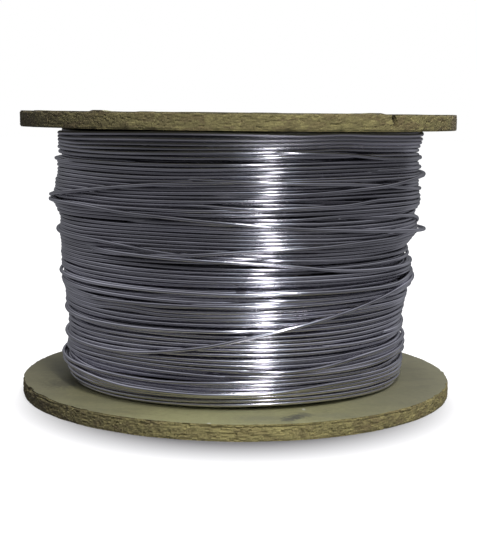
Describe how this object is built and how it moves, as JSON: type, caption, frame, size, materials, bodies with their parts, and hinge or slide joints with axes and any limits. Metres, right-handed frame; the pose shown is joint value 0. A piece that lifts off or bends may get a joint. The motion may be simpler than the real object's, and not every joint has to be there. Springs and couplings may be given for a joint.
{
  "type": "reel of galvanized wire",
  "caption": "Round chipboard-flanged reel on a cardboard barrel, wound full with galvanized steel wire, standing on its lower flange.",
  "frame": {"origin": "centre of the lower flange's underside, on the reel's axis", "axes": "+Z along the reel's axis from the lower flange to the upper one, +X through one of the tie rods"},
  "size_m": [0.26, 0.26, 0.168],
  "materials": {
    "chipboard": "coarse chipboard with a smooth, soiled face and a rough sawn rim",
    "barrel": "spirally wound tube board",
    "wire": "dull hot-dip zinc coating",
    "hardware": "bright zinc plating"
  },
  "bodies": {
    "root": {"lower_flange": "chipboard", "upper_flange": "chipboard", "barrel": "barrel", "wire_winding": "wire", "tie_rod_1": "hardware", "tie_rod_2": "hardware", "tie_rod_3": "hardware", "lower_washer_1": "hardware", "lower_washer_2": "hardware", "lower_washer_3": "hardware", "upper_washer_1": "hardware", "upper_washer_2": "hardware", "upper_washer_3": "hardware", "lower_nut_1": "hardware", "lower_nut_2": "hardware", "lower_nut_3": "hardware", "upper_nut_1": "hardware", "upper_nut_2": "hardware", "upper_nut_3": "hardware"}
  },
  "joints": []
}
